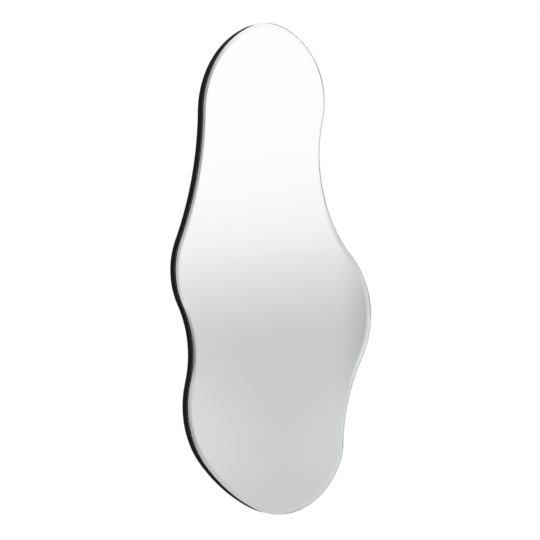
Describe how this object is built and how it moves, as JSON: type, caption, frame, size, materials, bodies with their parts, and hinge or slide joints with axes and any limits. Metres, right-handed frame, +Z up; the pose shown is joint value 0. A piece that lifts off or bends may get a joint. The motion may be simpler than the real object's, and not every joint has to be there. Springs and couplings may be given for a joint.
{
  "type": "irregular shaped wall mirror",
  "caption": "Frameless wall mirror with an irregular pebble outline, bevelled glass bonded to a black backing board, hung by two swinging wire rings.",
  "frame": {"origin": "on the wall plane, midway between the two wall hooks, at the height where the hooks carry the turned-up rings", "axes": "+X to the right as seen from the front, +Z up, the glass faces -Y and +Y points into the wall"},
  "size_m": [0.5423, 0.0303, 1.0999],
  "materials": {
    "clear_glass": "polished float glass, faint green at the edge",
    "silvering": "silver mirror coat, grey protective paint behind",
    "safety_film": "woven-look adhesive safety film",
    "foam_tape": "black closed-cell foam",
    "mirror_adhesive": "cured neutral silicone",
    "black_board": "satin black paint on fibreboard",
    "zinc_steel": "bright zinc plated",
    "ring_wire": "nickel plated wire",
    "bumper": "translucent silicone"
  },
  "bodies": {
    "mirror": {"mirror_glass": "clear_glass", "silvering": "silvering", "safety_film": "safety_film", "bond_tape_left": "foam_tape", "bond_tape_centre": "foam_tape", "bond_tape_right": "foam_tape", "bond_tape_outer_right": "foam_tape", "adhesive_dabs": "mirror_adhesive", "backing_board": "black_board", "hanger_strap_left": "zinc_steel", "hanger_strap_right": "zinc_steel", "hanger_screws": "zinc_steel", "wall_bumper_upper_left": "bumper", "wall_bumper_upper_right": "bumper", "wall_bumper_lower_left": "bumper", "wall_bumper_lower_right": "bumper"},
    "left_ring": {"hanging_ring_left": "ring_wire"},
    "right_ring": {"hanging_ring_right": "ring_wire"}
  },
  "joints": [
    {"name": "left_ring_swing", "type": "hinge", "parent": "mirror", "child": "left_ring", "pos_m": [-0.1, -0.00345, -0.01775], "axis": [1, 0, 0], "range_deg": [0, 180]},
    {"name": "right_ring_swing", "type": "hinge", "parent": "mirror", "child": "right_ring", "pos_m": [0.1, -0.00345, -0.01775], "axis": [1, 0, 0], "range_deg": [0, 180]}
  ]
}
